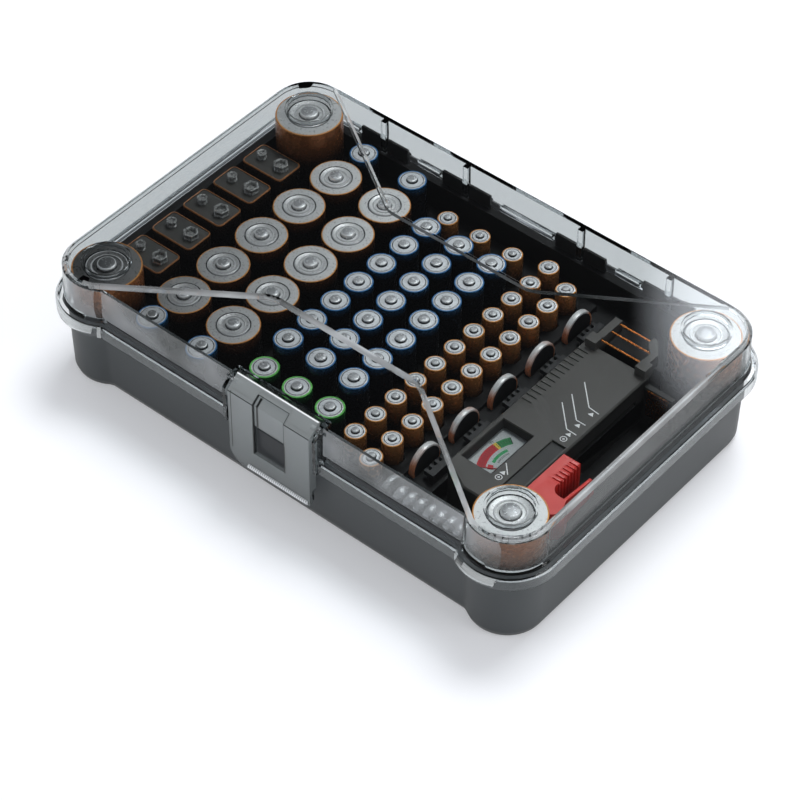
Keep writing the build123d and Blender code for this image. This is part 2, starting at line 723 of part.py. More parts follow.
# Slider: a gripped block whose tongue runs in the tester's side slot.
slider_left = tester_right + slider_gap
slider_back = -17.4
slider_front = -53.1
pocket_y = -40.0
block_right = 119.5
blade_x0 = 127.0
blade_x1 = 128.5
with BuildPart() as slider_arm:
    with BuildSketch(Plane.XY.offset(slider_low)):
        with BuildLine():
            Polyline(
                (slider_left, slider_back),
                (block_right, slider_back),
                (block_right, pocket_y),
                (blade_x1, pocket_y),
                (131.0, -45.5),
                (130.6, -49.0),
                (126.5, slider_front),
                (slider_left, slider_front),
                close=True,
            )
        make_face()
    extrude(amount=slider_top - slider_low)
    inner_edge = slider_arm.edges().filter_by(Axis.Z).filter_by(
        lambda e: abs(e.center().X - block_right) < 0.1 and abs(e.center().Y - pocket_y) < 0.1
    )
    fillet(inner_edge, radius=4.8)
    back_edge = slider_arm.edges().filter_by(Axis.X).sort_by(Axis.Y)[-2:].sort_by(Axis.Z)[-1]
    chamfer(back_edge, length=0.8)
    with BuildSketch(Plane.YZ.offset(blade_x0)):
        with BuildLine():
            Polyline((pocket_y - 1, 33), (pocket_y - 1, slider_top - 0.2), (-20.5, 44.0), (-20.5, 36), close=True)
        make_face()
    extrude(amount=blade_x1 - blade_x0)
    for k in range(6):
        y_groove = -33.0 + k * 2.5
        block(115.3, block_right + 1, y_groove - 0.4, y_groove + 0.4, slider_top - 0.6, slider_top + 1, mode=Mode.SUBTRACT)
    for k in range(7):
        y_rib = -33.6 + k * 2.4
        block(block_right - 0.1, block_right + 0.5, y_rib - 0.5, y_rib + 0.5, slider_low + 1, slider_top - 0.6)
    block(tester_right - tester_wall - 0.4, slider_left + 0.1, -48.6, -20.0, tester_split + 0.35, slot_top - 0.35)
    block(
        tester_right - tester_wall - 1.4,
        tester_right - tester_wall - 0.3,
        -48.6,
        -20.0,
        tester_split - 1.2,
        slot_top + 1.2,
    )
save(slider_arm.part, "slider_arm")

with BuildPart() as slider_contact:
    block(block_right + 5.2, blade_x0 - 0.1, pocket_y, pocket_y + 0.5, slider_low + 3, slider_top - 2)
save(slider_contact.part, "slider_contact")


# Cells that fill the tray, standing on the floor of the shell.
def upright_cells(places, r, high, sides, nub_r, nub_high):
    """Raises one many-sided cell of the given size at each place, with its end button."""
    with BuildSketch(Plane.XY.offset(floor_top), mode=Mode.PRIVATE) as bodies:
        with Locations(*places):
            RegularPolygon(r, sides)
    extrude(bodies.sketch, amount=high - nub_high / 2 - floor_top)
    with BuildSketch(Plane.XY.offset(high - nub_high / 2), mode=Mode.PRIVATE) as nubs:
        with Locations(*places):
            RegularPolygon(nub_r, nub_sides)
    extrude(nubs.sketch, amount=nub_high)


with BuildPart() as d_cells:
    upright_cells(d_places, d_r, d_high, medium_sides, 4.75, 1.5)
save(d_cells.part, "d_cells")

with BuildPart() as c_cells:
    upright_cells(c_places, c_r, c_high, slim_sides, 3.5, 1.5)
save(c_cells.part, "c_cells")

with BuildPart() as aa_cells:
    upright_cells(aa_places, aa_r, aa_high, cell_sides, 2.75, 1.2)
save(aa_cells.part, "aa_cells")

with BuildPart() as short_cells:
    upright_cells(short_places, aa_r, short_high, cell_sides, 2.75, 1.2)
save(short_cells.part, "short_cells")

with BuildPart() as aaa_cells:
    upright_cells(aaa_places, aaa_r, aaa_high, cell_sides, 1.9, 1.0)
save(aaa_cells.part, "aaa_cells")

with BuildPart() as block_cells:
    with BuildSketch(Plane.XY.offset(floor_top)):
        with Locations(*block_places):
            Rectangle(block_long, block_wide)
    extrude(amount=block_high - floor_top)
    chamfer(block_cells.edges().filter_by(Axis.Z), length=1.8)
save(block_cells.part, "block_cells")

with BuildPart() as block_snaps:
    with BuildSketch(Plane.XY.offset(block_high)):
        for x_block, y_block in block_places:
            with Locations((x_block - snap_spacing / 2, y_block)):
                RegularPolygon(2.9, slim_sides)
            with Locations((x_block + snap_spacing / 2, y_block)):
                RegularPolygon(radius=4.2, side_count=6)
    extrude(amount=snap_high)
save(block_snaps.part, "block_snaps")

with BuildPart() as coin_cells:
    for y_coin in coin_places:
        disc((coin_x, y_coin, coin_z), coin_r, coin_thick)
    disc(wide_coin_place, wide_coin_r, coin_thick)
save(coin_cells.part, "coin_cells")

with BuildPart() as button_cells:
    for x_button in button_places:
        disc((x_button, button_y, button_z), button_r, button_thick)
save(button_cells.part, "button_cells")
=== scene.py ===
import json
import math
import bmesh
import bpy
import numpy as np
from mathutils import Matrix, Vector

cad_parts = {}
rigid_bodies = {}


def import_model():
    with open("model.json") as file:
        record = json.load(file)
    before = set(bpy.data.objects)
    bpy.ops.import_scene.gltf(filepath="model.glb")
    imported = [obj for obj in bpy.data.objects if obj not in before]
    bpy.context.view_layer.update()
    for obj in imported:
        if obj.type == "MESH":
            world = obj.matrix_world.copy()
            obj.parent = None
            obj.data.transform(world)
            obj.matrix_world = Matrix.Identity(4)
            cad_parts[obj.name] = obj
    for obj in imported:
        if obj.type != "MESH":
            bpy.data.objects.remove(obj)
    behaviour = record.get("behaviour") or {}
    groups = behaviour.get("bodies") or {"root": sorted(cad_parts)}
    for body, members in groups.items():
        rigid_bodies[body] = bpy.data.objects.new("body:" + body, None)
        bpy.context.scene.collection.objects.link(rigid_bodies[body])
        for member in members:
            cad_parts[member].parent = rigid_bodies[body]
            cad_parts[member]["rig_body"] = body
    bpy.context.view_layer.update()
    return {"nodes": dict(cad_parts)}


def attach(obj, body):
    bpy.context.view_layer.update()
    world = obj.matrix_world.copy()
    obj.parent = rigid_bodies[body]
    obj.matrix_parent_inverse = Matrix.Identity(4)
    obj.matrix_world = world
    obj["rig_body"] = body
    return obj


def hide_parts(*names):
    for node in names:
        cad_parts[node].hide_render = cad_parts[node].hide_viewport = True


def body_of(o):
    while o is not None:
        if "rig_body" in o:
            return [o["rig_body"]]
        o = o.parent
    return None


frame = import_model()
nodes = frame["nodes"]
scene = bpy.context.scene
scene.view_settings.view_transform = "Standard"
mm = 0.001  # the frame is in metres, the sizes below are in millimetres

# Camera, at the photograph's angle
view = {"place": (0.64564, -0.778, 1.02827), "turn": 39.822, "tilt": 44.382, "roll": 0.308,
        "lens": 134.03, "sensor": 36, "shift": (0.003, 0.0), "far": 20}
cameraData = bpy.data.cameras.new("viewCamera")
cameraData.lens = view["lens"]
cameraData.sensor_width = view["sensor"]
cameraData.shift_x, cameraData.shift_y = view["shift"]
cameraData.clip_end = view["far"]
camera = bpy.data.objects.new("viewCamera", cameraData)
camera.matrix_world = (Matrix.Translation(view["place"])
                       @ Matrix.Rotation(math.radians(view["turn"]), 4, "Z")
                       @ Matrix.Rotation(math.radians(view["tilt"]), 4, "X")
                       @ Matrix.Rotation(math.radians(view["roll"]), 4, "Z"))
scene.collection.objects.link(camera)
scene.camera = camera


def paint(r, g, b):
    # screen colour 0-255 turned into the linear colour that Blender works in
    def linear(v):
        v = v / 255
        return v / 12.92 if v <= 0.04045 else ((v + 0.055) / 1.055) ** 2.4
    return (linear(r), linear(g), linear(b), 1.0)


class Wire:
    # one socket; plain arithmetic on it adds Math nodes
    def __init__(self, finish, socket):
        self.finish = finish
        self.socket = socket

    def __add__(self, other):
        return self.finish.maths("ADD", self, other)

    def __sub__(self, other):
        return self.finish.maths("SUBTRACT", self, other)

    def __rsub__(self, other):
        return self.finish.maths("SUBTRACT", other, self)

    def __mul__(self, other):
        return self.finish.maths("MULTIPLY", self, other)

    def __pow__(self, other):
        return self.finish.maths("POWER", self, other)

    def __gt__(self, other):
        return self.finish.maths("GREATER_THAN", self, other)

    def __lt__(self, other):
        return self.finish.maths("LESS_THAN", self, other)

    __radd__ = __add__
    __rmul__ = __mul__

    def within(self, low, high):
        return (self > low) * (self < high)


class Finish:
    # the nodes of one material, or of the world when an owner is given
    def __init__(self, name, owner=None):
        self.owner = owner or bpy.data.materials.new(name)
        self.owner.use_nodes = True
        self.tree = self.owner.node_tree
        self.tree.nodes.clear()

    def node(self, kind, settings=None, inputs=None, output=0):
        item = self.tree.nodes.new(kind)
        for key, value in (settings or {}).items():
            setattr(item, key, value)
        for key, value in (inputs or {}).items():
            if isinstance(value, Wire):
                self.tree.links.new(value.socket, item.inputs[key])
            else:
                item.inputs[key].default_value = value
        return Wire(self, item.outputs[output]) if len(item.outputs) else None

    def maths(self, operation, first, second=None):
        inputs = {0: first} if second is None else {0: first, 1: second}
        return self.node("ShaderNodeMath", {"operation": operation}, inputs)

    def place(self):
        return self.node("ShaderNodeTexCoord", output="Object")

    def light(self, output):
        return self.node("ShaderNodeLightPath", output=output)

    def axes(self, vector):
        split = self.node("ShaderNodeSeparateXYZ", inputs={0: vector}).socket.node
        return [Wire(self, split.outputs[k]) for k in range(3)]

    def noise(self, vector, scale, detail):
        return self.node("ShaderNodeTexNoise",
                         inputs={"Vector": vector, "Scale": scale, "Detail": detail})

    def mix(self, amount, first, second):
        return self.node("ShaderNodeMix", {"data_type": "RGBA"}, {0: amount, 6: first, 7: second}, output=2)

    def span(self, value, low, high, newLow, newHigh, curve="LINEAR"):
        return self.node("ShaderNodeMapRange", {"clamp": True, "interpolation_type": curve},
                         {0: value, 1: low, 2: high, 3: newLow, 4: newHigh})

    def bump(self, height, strength, distance):
        return self.node("ShaderNodeBump",
                         inputs={"Strength": strength, "Distance": distance, "Height": height})

    def body(self, **inputs):
        return self.node("ShaderNodeBsdfPrincipled",
                         inputs={key.replace("_", " "): value for key, value in inputs.items()})

    def blend(self, amount, first, second):
        return self.node("ShaderNodeMixShader", inputs={0: amount, 1: first, 2: second})

    def done(self, shader, kind="ShaderNodeOutputMaterial"):
        self.node(kind, inputs={"Surface": shader})
        return self.owner


print("stage: finishes")
grain = {"drift": 24, "fine": 2600, "scratch": 900}  # how many to the metre, roughly


# Moulded plastic: two tones drift into each other under a fine spark-eroded grain.
def moulded(name, colour, dark, rough, specular=0.5):
    finish = Finish(name)
    place = finish.place()
    drift = finish.noise(place, grain["drift"], 3)
    fine = finish.noise(place, grain["fine"], 2)
    return finish.done(finish.body(
        Base_Color=finish.mix(finish.span(drift, 0.35, 0.65, 0, 1), dark, colour),
        Roughness=finish.span(drift, 0.3, 0.7, rough - 0.04, rough + 0.05),
        Specular_IOR_Level=specular, Normal=finish.bump(fine, 0.5, 0.04 * mm)))


# The tester's case: its top face above the step is lit, and everything below is darker.
def testerPlastic(name, face, low, step):
    finish = Finish(name)
    place = finish.place()
    z = finish.axes(place)[2]
    drift = finish.noise(place, grain["drift"], 3)
    fine = finish.noise(place, grain["fine"], 2)
    return finish.done(finish.body(
        Base_Color=finish.mix(z > step * mm, low, face),
        Roughness=finish.span(drift, 0.3, 0.7, 0.42, 0.52),
        Specular_IOR_Level=0.3, Normal=finish.bump(fine, 0.4, 0.03 * mm)))


# A thin clear window: light passes, dimmed by the tint, and the gloss grows towards grazing angles.
def thinClear(name, tint, rough, gloss, rim):
    finish = Finish(name)
    slant = finish.node("ShaderNodeLayerWeight", inputs={"Blend": 0.5}, output="Facing")
    through = finish.node("ShaderNodeBsdfTransparent", inputs={"Color": tint})
    shine = finish.node("ShaderNodeBsdfAnisotropic", inputs={"Color": (1, 1, 1, 1), "Roughness": rough})
    return finish.done(finish.blend(gloss + rim * slant ** 5, through, shine))


# Solid clear plastic with a cloudy share, which on some faces paints light as a pale haze; lamps and soft
# light go straight through it.
def castBody(finish, tint, haze, amount):
    glass = finish.node("ShaderNodeBsdfGlass", inputs={"Color": tint, "Roughness": 0.0, "IOR": 1.42})
    straight = finish.node("ShaderNodeBsdfTransparent", inputs={"Color": tint})
    shadow = finish.light("Is Shadow Ray") + finish.light("Is Diffuse Ray") > 0.5
    return finish.done(finish.blend(shadow, finish.blend(amount, glass, haze), straight))


# The lid's clear plastic: hazeAndSheen is its share of pale haze, used as a painted reflection on the front
# faces and a painted highlight on the top-edge faces.
def castClear(name, tint, hazeAndSheen=0.0, hazeAndSheenColour=paint(150, 154, 154)):
    finish = Finish(name)
    drift = finish.noise(finish.place(), 30, 2)
    tone = finish.mix(finish.span(drift, 0.3, 0.7, 0, 1), paint(96, 100, 100), hazeAndSheenColour)
    return castBody(finish, tint, finish.body(Base_Color=tone, Roughness=0.3), hazeAndSheen)


# The latch: cloudy, its tone growing paler from foot to top, with painted shade lines along its moulded
# edges and a painted highlight on its crown.
def latchPlastic(name, latch):
    finish = Finish(name)
    x, y, z = finish.axes(finish.place())
    # each edge span is a painted shade line
    edges = [x.within(x0 * mm, x1 * mm) * z.within(z0 * mm, z1 * mm) for x0, x1, z0, z1 in latch["edges"]]
    dark = edges[0]
    for edge in edges[1:]:
        dark = finish.maths("MAXIMUM", dark, edge)
    # bright: the crown above this height, a painted highlight
    bright = z > latch["crown"] * mm
    foot, top = latch["height"]
    tone = finish.mix(finish.span(z, foot * mm, top * mm, 0, 1), latch["foot"], latch["top"])
    tone = finish.mix(bright, finish.mix(dark, tone, latch["edge"]), latch["bright"])
    amount = latch["hazeAndSheen"] + (1 - latch["hazeAndSheen"]) * finish.maths("MAXIMUM", dark * 0.7, bright * 0.9)
    return castBody(finish, latch["tint"], finish.body(Base_Color=tone, Roughness=0.35), amount)


# Plated metal with fine scratches; with paintedShade its tone falls off towards the far left of the case, a
# painted shade for the dimmer reflection there.
def metal(name, colour, rough, metallic=1.0, paintedShade=0.0):
    finish = Finish(name)
    place = finish.place()
    fine = finish.noise(place, grain["scratch"], 3)
    tone = colour
    if paintedShade:
        x, y, z = finish.axes(place)
        # painted shade: darker towards the far left of the case
        across = finish.span(x * 0.77 + y * 0.64, -0.145, -0.01, paintedShade, 0)
        tone = finish.mix(across, colour, tuple(0.05 * v for v in colour[:3]) + (1,))
    return finish.done(finish.body(
        Base_Color=tone, Metallic=metallic,
        Roughness=finish.span(fine, 0.3, 0.7, rough - 0.05, rough + 0.06),
        Normal=finish.bump(fine, 0.1, 0.002 * mm)))


# A cell's jacket with light and shade painted in: its lit tone with a painted sheen below the rim at the
# height high, fading over fade into painted shade at a darker foot.
def jacket(name, high, fade, bright, dark):
    finish = Finish(name)
    place = finish.place()
    z = finish.axes(place)[2]
    fine = finish.noise(place, 400, 2)
    return finish.done(finish.body(
        Base_Color=finish.mix(finish.span(z, (high - fade) * mm, (high - 1) * mm, 0, 1), dark, bright),
        Metallic=0.6, Roughness=finish.span(fine, 0.3, 0.7, 0.22, 0.31)))


# A coin cell's rim: a copper glow low at the sides turns in patches to silver at the crown.
def coinMetal(name, low, high, side, crown):
    finish = Finish(name)
    place = finish.place()
    z = finish.axes(place)[2]
    lying = finish.node("ShaderNodeMapping", inputs={"Vector": place, "Scale": (9, 1, 1)})
    brushed = finish.noise(lying, 300, 3)
    patch = finish.noise(place, 130, 1)
    level = finish.span(z + (patch - 0.5) * 0.012, low * mm, high * mm, 0, 1)
    return finish.done(finish.body(
        Base_Color=finish.mix(level, side, crown), Metallic=0.25,
        Roughness=finish.span(brushed, 0.3, 0.7, 0.2, 0.34), Normal=finish.bump(brushed, 0.15, 0.004 * mm)))


# A pull edge with fine upright ribs along X; one rib takes a share of each step. The pale crests are a
# painted highlight beside greyer valleys.
def ribbed(name, crest, valley, step, share):
    finish = Finish(name)
    x = finish.axes(finish.place())[0]
    turn = finish.maths("FRACT", (x + 1) * (1 / (step * mm)))
    return finish.done(finish.body(Base_Color=finish.mix(turn < share, crest, valley), Roughness=0.3))


# The printed dial: bands and ticks told apart by radius and angle round the needle's staff, on paper that
# darkens from the front edge towards the back.
def dialPrint(name, dial):
    finish = Finish(name)
    x, y, z = finish.axes(finish.place())
    right, up = (centre * mm - axis for centre, axis in zip(dial["centre"], (x, y)))
    radius = finish.maths("SQRT", right * right + up * up)
    angle = finish.maths("ARCTAN2", up, right) * (180 / math.pi)
    near, far = dial["paperY"]
    tone = finish.mix(finish.span(y, near * mm, far * mm, 0, 1), *dial["paper"])
    for low, high, start, end, colour in dial["bands"]:
        band = radius.within(low * mm, high * mm) * angle.within(start, end)
        tone = finish.mix(band, tone, colour)
    for low, high, start, end, step, share in dial["ticks"]:
        turn = finish.maths("FRACT", (angle + 180) * (1 / step))
        tick = radius.within(low * mm, high * mm) * angle.within(start, end) * (turn < share)
        tone = finish.mix(tick, tone, dial["ink"])
    return finish.done(finish.body(Base_Color=tone, Roughness=0.45, Specular_IOR_Level=0.3))


smoke = {"clear": (0.875, 0.89, 0.895, 1), "fold": (0.9, 0.91, 0.915, 1), "hazeAndSheen": 0.36}
# edges: (x0, x1, z0, z1) of each painted shade line
latch = {"tint": (0.78, 0.80, 0.805, 1), "hazeAndSheen": 0.5, "height": (15, 66), "crown": 65.75,
         "foot": paint(118, 122, 122), "top": paint(160, 165, 165), "edge": paint(22, 24, 24),
         "bright": paint(250, 252, 252),
         "edges": [(-24.6, -9.3, 59.7, 60.2), (9.3, 24.6, 59.7, 60.2), (-9.5, 9.5, 63.3, 63.8),
                   (-9.7, -9.1, 45, 63.5), (-7.9, -6.7, 46.5, 62.5), (9.1, 9.6, 45, 63.5),
                   (-23.1, -22.6, 24, 60.5), (-9.8, 9.8, 45.6, 46.3), (-9.9, -9.2, 28, 46),
                   (9.2, 9.9, 28, 46)]}
colours = {
    "shell": moulded("shellPlastic", paint(78, 81, 82), paint(73, 76, 77), 0.46, 0.25),
    # catch: the shell's plastic in a darker copy, painted shade behind and under the latch
    "catch": moulded("catchPlastic", paint(58, 60, 62), paint(54, 56, 58), 0.45, 0.2),
    "tray": moulded("trayPlastic", paint(13, 13, 14), paint(9, 9, 10), 0.42, 0.18),
    "hinge": moulded("hingePlastic", paint(20, 20, 21), paint(14, 14, 15), 0.35, 0.4),
    "tester": testerPlastic("testerPlastic", paint(66, 64, 61), paint(32, 32, 31), 45.3),
    "slider": moulded("sliderPlastic", paint(214, 52, 42), paint(202, 44, 36), 0.38),
    "lid": castClear("smokePlastic", smoke["clear"]),
    # lidFront: pale haze on the lid's front faces, a painted reflection; lidFold: a lighter tint and
    # near-white haze on the top-edge faces, a painted highlight
    "lidFront": castClear("smokeFront", smoke["clear"], smoke["hazeAndSheen"], paint(222, 225, 227)),
    "lidFold": castClear("smokeFold", smoke["fold"], smoke["hazeAndSheen"], paint(244, 246, 247)),
    "latch": latchPlastic("latchPlastic", latch),
    "ridge": ribbed("ridgePlastic", paint(244, 246, 246), paint(168, 172, 172), 1.15, 0.35),
    "window": thinClear("windowPlastic", (0.97, 0.98, 0.98, 1), 0.03, 0.04, 0.7),
    "steel": metal("pinSteel", paint(190, 190, 192), 0.25),
    "copper": metal("rodCopper", paint(226, 140, 72), 0.25),
    "needle": moulded("needlePaint", paint(196, 30, 34), paint(180, 24, 28), 0.4),
    "discLarge": metal("cellDisc", paint(206, 206, 205), 0.3, 0.35, 0.98),
    # cellRing: dark metal in the sunk rings, grooves and the dip round each end button, painted shade
    "ring": metal("cellRing", paint(72, 74, 75), 0.25, 0.8, 0.5),
    # ridgeHighlight: near-white on ridges, rim steps and button bevels, a painted highlight
    "ridgeHighlight": metal("cellRidge", paint(240, 240, 240), 0.2, 0.6, 0.3),
    "nub": metal("cellNub", paint(196, 197, 198), 0.24, 0.6, 0.85),
    "disc": metal("slimDisc", paint(208, 210, 212), 0.3, 0.35, 0.6),
    "nickel": metal("nickel", paint(168, 168, 166), 0.28, 0.7, 0.5),
    "rimOrange": metal("rimOrange", paint(214, 146, 74), 0.3, 0.4, 0.4),
    "rimBlue": metal("rimBlue", paint(52, 112, 165), 0.3, 0.3, 0.4),
    "rimGreen": metal("rimGreen", paint(96, 178, 84), 0.3, 0.2, 0.2),
    # jacket tones: each lit top carries a painted sheen and each dark foot painted shade, the 9V blocks'
    # sides too
    "jacketD": jacket("jacketLarge", 63.5, 22, paint(150, 92, 52), paint(34, 19, 12)),
    "jacketC": jacket("jacketMiddle", 51.7, 9, paint(84, 48, 26), paint(9, 7, 6)),
    "jacketThin": jacket("jacketThin", 46.5, 15, paint(172, 116, 66), paint(42, 26, 15)),
    "jacketBlue": jacket("jacketBlue", 52.3, 6, paint(24, 70, 104), paint(10, 13, 19)),
    "jacketGreen": jacket("jacketGreen", 46.3, 6, paint(28, 96, 48), paint(8, 22, 14)),
    "blockTop": moulded("blockTop", paint(52, 51, 48), paint(46, 45, 43), 0.4, 0.3),
    "blockSide": jacket("blockSide", 47, 10, paint(40, 30, 24), paint(9, 8, 8)),
    "rimBlock": metal("rimBlock", paint(150, 98, 58), 0.3, 0.5, 0.2),
    "coin": coinMetal("coinBand", 36, 42, paint(206, 134, 98), paint(216, 216, 214)),
    "button": metal("buttonSteel", paint(226, 228, 230), 0.22, 0.9),
    "mark": moulded("markWhite", paint(226, 226, 224), paint(214, 214, 212), 0.5),
}

print("stage: shells")
edge = {"turn": 30, "segments": 2, "weld": 2e-6, "seam": 0.6}  # angles in degrees, weld in metres


def refine(name, finish, bevel, flatArea=1e9, others=()):
    # a copy of the node's mesh, merged, cleared of flat seams, with its edges rounded by a Bevel;
    # faces above flatArea (mm2) keep their own flat normal, and others gives (finish, test) pairs,
    # each test picking faces by their centres (mm) and normals
    source = nodes[name]
    mesh = source.data.copy()
    mesh.name = name + "Fine"
    work = bmesh.new()
    work.from_mesh(mesh)
    bmesh.ops.remove_doubles(work, verts=work.verts, dist=edge["weld"])
    bmesh.ops.dissolve_limit(work, angle_limit=math.radians(edge["seam"]), verts=work.verts,
                             edges=work.edges, use_dissolve_boundaries=False)
    work.to_mesh(mesh)
    work.free()
    for layer in list(mesh.uv_layers):
        mesh.uv_layers.remove(layer)
    mesh.shade_smooth()
    mesh.set_sharp_from_angle(angle=math.radians(edge["turn"]))
    mesh.materials.clear()
    mesh.materials.append(finish)
    count = len(mesh.polygons)
    area, centre, normal = np.zeros(count), np.zeros(count * 3), np.zeros(count * 3)
    mesh.polygons.foreach_get("area", area)
    mesh.polygons.foreach_get("center", centre)
    mesh.polygons.foreach_get("normal", normal)
    mesh.polygons.foreach_set("use_smooth", area < flatArea * mm * mm)
    slots = np.zeros(count, np.int32)
    for k, (second, test) in enumerate(others):
        mesh.materials.append(second)
        slots[test(centre.reshape(-1, 3).T / mm, normal.reshape(-1, 3).T)] = k + 1
    mesh.polygons.foreach_set("material_index", slots)
    piece = bpy.data.objects.new(name + "Fine", mesh)
    scene.collection.objects.link(piece)
    soft = piece.modifiers.new("soft", "BEVEL")
    soft.width = bevel * mm
    soft.segments = edge["segments"]
    soft.limit_method = "ANGLE"
    soft.angle_limit = math.radians(edge["turn"])
    soft.use_clamp_overlap = True
    soft.harden_normals = True
    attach(piece, body_of(source)[0])
    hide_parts(name)


def between(values, limits):
    return (values > limits[0]) & (values < limits[1])


lobe = (122.4, 72.8)  # a corner cell's axis, from the middle of the case
catch = {"half": 9.2, "before": -88, "above": 28}
knuckle = {"centres": (35.5, 88.2), "half": 10.3, "behind": 93.2, "below": 48.6}
lidFront = {"facing": -0.9, "above": 49, "before": -88, "past": 29}
slope = {"facing": (0.5, 0.85), "z": (66, 67.5), "half": (143, 92)}
fold = {"facing": 0.35, "z": (64, 66.3), "half": (139, 88), "awayFromLobe": 14}
pullEdge = {"before": -95.65, "z": (16.4, 19)}


def onCatch(place, facing):
    x, y, z = place
    return (np.abs(x) < catch["half"]) & (y < catch["before"]) & (z > catch["above"])


def onKnuckles(place, facing):
    x, y, z = place
    near = np.abs(np.abs(x)[:, None] - knuckle["centres"]).min(1) < knuckle["half"]
    return near & (y > knuckle["behind"]) & (z < knuckle["below"])


def onLidFront(place, facing):
    x, y, z = place
    return ((facing[1] < lidFront["facing"]) & (z > lidFront["above"]) & (y < lidFront["before"])
            & (np.abs(x) > lidFront["past"]))


def onSlope(place, facing):
    x, y, z = place
    return (between(facing[2], slope["facing"]) & between(z, slope["z"])
            & (np.abs(x) < slope["half"][0]) & (np.abs(y) < slope["half"][1]))


def onFold(place, facing):
    x, y, z = np.abs(place)
    away = np.hypot(x - lobe[0], y - lobe[1]) > fold["awayFromLobe"]
    return (away & (np.abs(facing[2]) < fold["facing"]) & between(z, fold["z"])
            & (x < fold["half"][0]) & (y < fold["half"][1]))


def onPullEdge(place, facing):
    return (place[1] < pullEdge["before"]) & between(place[2], pullEdge["z"])


refine("base_shell", colours["shell"], 0.3, others=[(colours["catch"], onCatch)])
refine("socket_tray", colours["tray"], 0.2)
# the lid's front faces and its slope and fold faces along the top edges take hazed finishes: painted
# reflection and painted highlight
refine("lid_cover", colours["lid"], 0.25, 120, [
    (colours["hinge"], onKnuckles), (colours["lidFront"], onLidFront),
    (colours["lidFold"], onSlope), (colours["lidFold"], onFold)])
refine("latch_flap", colours["latch"], 0.3, 60, [(colours["ridge"], onPullEdge)])
refine("hinge_brackets", colours["hinge"], 0.2)
refine("tester_upper_case", colours["tester"], 0.2)
refine("tester_lower_case", colours["tester"], 0.2)
refine("slider_arm", colours["slider"], 0.25)


def repaint(name, finish):
    mesh = nodes[name].data
    mesh.materials.clear()
    mesh.materials.append(finish)


for name, key in (("hinge_pins", "steel"), ("latch_pins", "steel"), ("contact_rods", "copper"),
                  ("fixed_contact", "copper"), ("slider_contact", "copper"), ("tester_screws", "steel"),
                  ("meter_movement", "tray"), ("meter_window", "window"), ("meter_needle", "needle")):
    repaint(name, colours[key])

# bands: (radius from, to, angle from, to, colour); ticks: (..., step, share of the step that is inked)
dial = {"centre": (100.9, -33.7), "paper": (paint(205, 205, 203), paint(168, 168, 168)),
        "paperY": (-48, -17), "ink": paint(40, 42, 42),
        "bands": [(18.4, 22.8, -10, 32, paint(190, 30, 40)), (18.4, 22.8, -14.5, -10, paint(222, 186, 60)),
                  (18.4, 22.8, -32.5, -14.5, paint(20, 120, 60)),
                  (18.4, 22.8, -33.7, -32.5, paint(20, 20, 20)),
                  (15.0, 16.6, -20, 18, paint(34, 150, 84)), (15.0, 17.6, 24, 34, paint(200, 36, 44))],
        "ticks": [(19.4, 21.8, -31, 30, 3.4, 0.22), (23.4, 24.6, -14, -8, 2.2, 0.5),
                  (13.2, 14.3, -18, 16, 2.8, 0.4)]}
repaint("meter_dial", dialPrint("dialPrint", dial))


def link(name, mesh, slotName, body, *replaced):
    piece = bpy.data.objects.new(name, mesh)
    scene.collection.objects.link(piece)
    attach(piece, body)
    if replaced:
        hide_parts(*replaced)


def stacked(name, rings, zones, places, finishes, turn=35):
    # rings of equal point counts (rings, points, 3), in mm, skinned in order and capped at both ends,
    # repeated at every place; zones numbers the finish of each band between two rings
    rings = np.array(rings, float) * mm
    places = np.array(places, float) * mm
    levels, sides = rings.shape[:2]
    one = rings.reshape(-1, 3)
    points = (one[None] + places[:, None]).reshape(-1, 3)
    row, col = np.meshgrid(np.arange(levels - 1), np.arange(sides), indexing="ij")
    nextCol = (col + 1) % sides
    quads = np.stack([row * sides + col, row * sides + nextCol,
                      (row + 1) * sides + nextCol, (row + 1) * sides + col], -1).reshape(-1, 4)
    shift = (np.arange(len(places)) * len(one))[:, None]
    top = (np.arange(sides) + (levels - 1) * sides)[None] + shift
    bottom = np.arange(sides)[::-1][None] + shift
    faces = (quads[None] + shift[:, None]).reshape(-1, 4).tolist() + top.tolist() + bottom.tolist()
    mesh = bpy.data.meshes.new(name)
    mesh.from_pydata(points.tolist(), [], faces)
    slots = np.concatenate([np.tile(np.repeat(np.array(zones), sides), len(places)),
                            np.full(len(places), zones[-1]), np.full(len(places), zones[0])])
    for key in finishes:
        mesh.materials.append(colours[key])
    mesh.polygons.foreach_set("material_index", slots.astype(np.int32))
    mesh.shade_smooth()
    mesh.set_sharp_from_angle(angle=math.radians(turn))
    return mesh


def turned(profile, sides, lying=False, start=0.0):
    # each (radius, height) of a profile swept round Z, or round X when lying
    profile = np.array(profile, float)
    angle = start + np.arange(sides) * 2 * math.pi / sides
    across = profile[:, None, 0] * np.cos(angle)[None]
    along = profile[:, None, 0] * np.sin(angle)[None]
    high = np.repeat(profile[:, 1:2], sides, axis=1)
    return np.stack([high, across, along] if lying else [across, along, high], -1)


def roundedBox(long, wide, corner, levels, steps=6):
    # for each (inset, height): a rectangle with quarter-circle corners, drawn in by the inset
    out = []
    quarter = np.linspace(0, math.pi / 2, steps)
    for inset, height in levels:
        r = max(corner - inset, 0.4)
        ring = []
        for k, (sx, sy) in enumerate(((1, 1), (-1, 1), (-1, -1), (1, -1))):
            angle = quarter + k * math.pi / 2
            ring.append(np.stack([sx * (long / 2 - inset - r) + r * np.cos(angle),
                                  sy * (wide / 2 - inset - r) + r * np.sin(angle),
                                  np.full(steps, height)], -1))
        out.append(np.concatenate(ring))
    return np.array(out)


